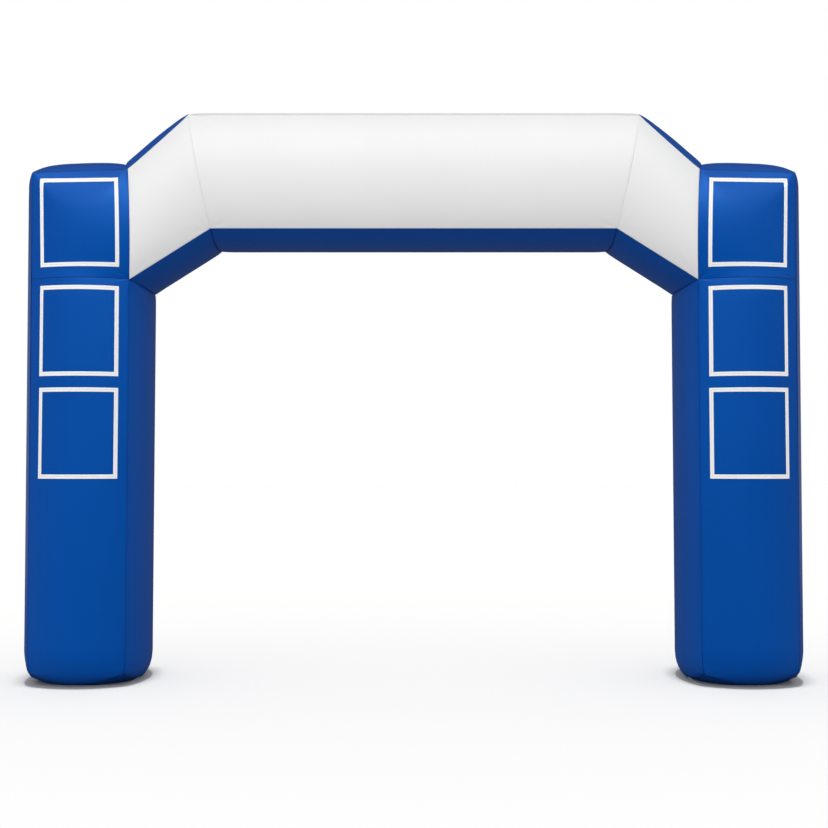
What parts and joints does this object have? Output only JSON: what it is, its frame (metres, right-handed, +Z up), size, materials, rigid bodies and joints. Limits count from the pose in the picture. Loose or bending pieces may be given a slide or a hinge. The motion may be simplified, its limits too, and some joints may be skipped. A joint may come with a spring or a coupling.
{
  "type": "inflatable arch",
  "caption": "Free-standing air-filled cloth arch: square blue legs with white tape frames, slanting shoulders and a level white beam over a walk-through passage.",
  "frame": {"origin": "on the floor, midway between the legs, at the middle of the tube's depth", "axes": "+X from the middle towards the right leg as seen from the front, +Y to the back, +Z up; the tape frames face -Y"},
  "size_m": [6, 0.9564, 4.403],
  "materials": {
    "blue_cloth": "coated nylon cloth, satin, royal blue",
    "white_cloth": "coated nylon cloth, satin, white"
  },
  "bodies": {
    "root": {"left_foot": "blue_cloth", "left_front_column": "blue_cloth", "left_front_head": "blue_cloth", "left_back_column": "blue_cloth", "left_back_head": "blue_cloth", "left_outer_side": "blue_cloth", "left_inner_side": "blue_cloth", "left_top_cap": "blue_cloth", "left_shoulder_bottom": "blue_cloth", "left_shoulder_top": "blue_cloth", "left_frame_lower": "white_cloth", "left_frame_middle": "white_cloth", "left_frame_upper": "white_cloth", "left_shoulder_front": "white_cloth", "left_shoulder_back": "white_cloth", "right_foot": "blue_cloth", "right_front_column": "blue_cloth", "right_front_head": "blue_cloth", "right_back_column": "blue_cloth", "right_back_head": "blue_cloth", "right_outer_side": "blue_cloth", "right_inner_side": "blue_cloth", "right_top_cap": "blue_cloth", "right_shoulder_bottom": "blue_cloth", "right_shoulder_top": "blue_cloth", "right_frame_lower": "white_cloth", "right_frame_middle": "white_cloth", "right_frame_upper": "white_cloth", "right_shoulder_front": "white_cloth", "right_shoulder_back": "white_cloth", "beam_front": "white_cloth", "beam_back": "white_cloth", "beam_top": "white_cloth", "beam_bottom": "blue_cloth"}
  },
  "joints": []
}
